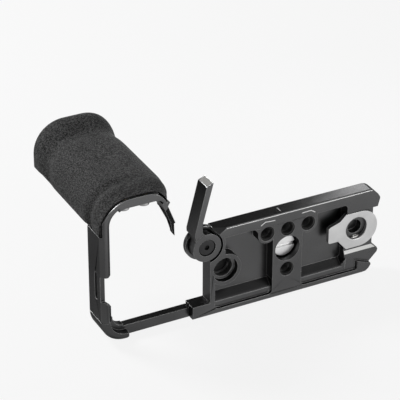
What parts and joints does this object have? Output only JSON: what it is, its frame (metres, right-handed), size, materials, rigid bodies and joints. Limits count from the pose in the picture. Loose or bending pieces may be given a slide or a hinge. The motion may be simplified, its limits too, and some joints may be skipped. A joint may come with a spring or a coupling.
{
  "type": "l-shaped camera mount plate",
  "caption": "L-shaped mount plate for a small camera: a pocketed base plate, a side frame with a soft hand grip, a swing arm that opens for the battery, a captive mounting screw and a stowed key.",
  "frame": {"origin": "on the mounting screw's axis, where it leaves the seat that the camera stands on", "axes": "the part lies on its back with the camera's lens direction up: +Y from the seat along the mounting screw into the camera, +Z the camera's front (the grip's front and the plate's front edge), +X from the hand grip towards the plate's free end"},
  "size_m": [0.124, 0.0636, 0.0674],
  "materials": {
    "black_alloy": "black anodised, fine satin",
    "silicone": "leather-like grain",
    "steel": "satin",
    "black_steel": "black oxide",
    "magnet": "nickel plated",
    "core": "fine matte",
    "brass": "knurled insert",
    "pad": "smooth"
  },
  "bodies": {
    "frame": {"base_plate": "black_alloy", "grip_frame": "black_alloy", "pivot_screw": "black_steel", "pivot_washer": "steel", "frame_magnet": "magnet", "key_magnet_front": "magnet", "key_magnet_rear": "magnet", "grip_core": "core", "grip_sleeve": "silicone", "grip_screw_left": "black_steel", "grip_screw_right": "black_steel", "grip_insert_left": "brass", "grip_insert_right": "brass", "seat_pad_front": "pad", "seat_pad_rear": "pad", "seat_pad_left": "pad"},
    "arm": {"swing_arm": "black_alloy", "arm_magnet": "magnet"},
    "screw": {"mount_screw": "steel", "screw_clip": "steel"},
    "key": {"key_tool": "steel"}
  },
  "joints": [
    {"name": "arm_swing", "type": "hinge", "parent": "frame", "child": "arm", "pos_m": [-0.0357, -0.0044, 0.0098], "axis": [0, 1, 0], "range_deg": [-35.3, 0]},
    {"name": "screw_turn", "type": "hinge", "parent": "frame", "child": "screw", "pos_m": [0, 0, 0], "axis": [0, 1, 0], "continuous": true},
    {"name": "key_lift", "type": "slide", "parent": "frame", "child": "key", "axis": [0, -1, 0], "range_m": [0, 0.012]}
  ]
}
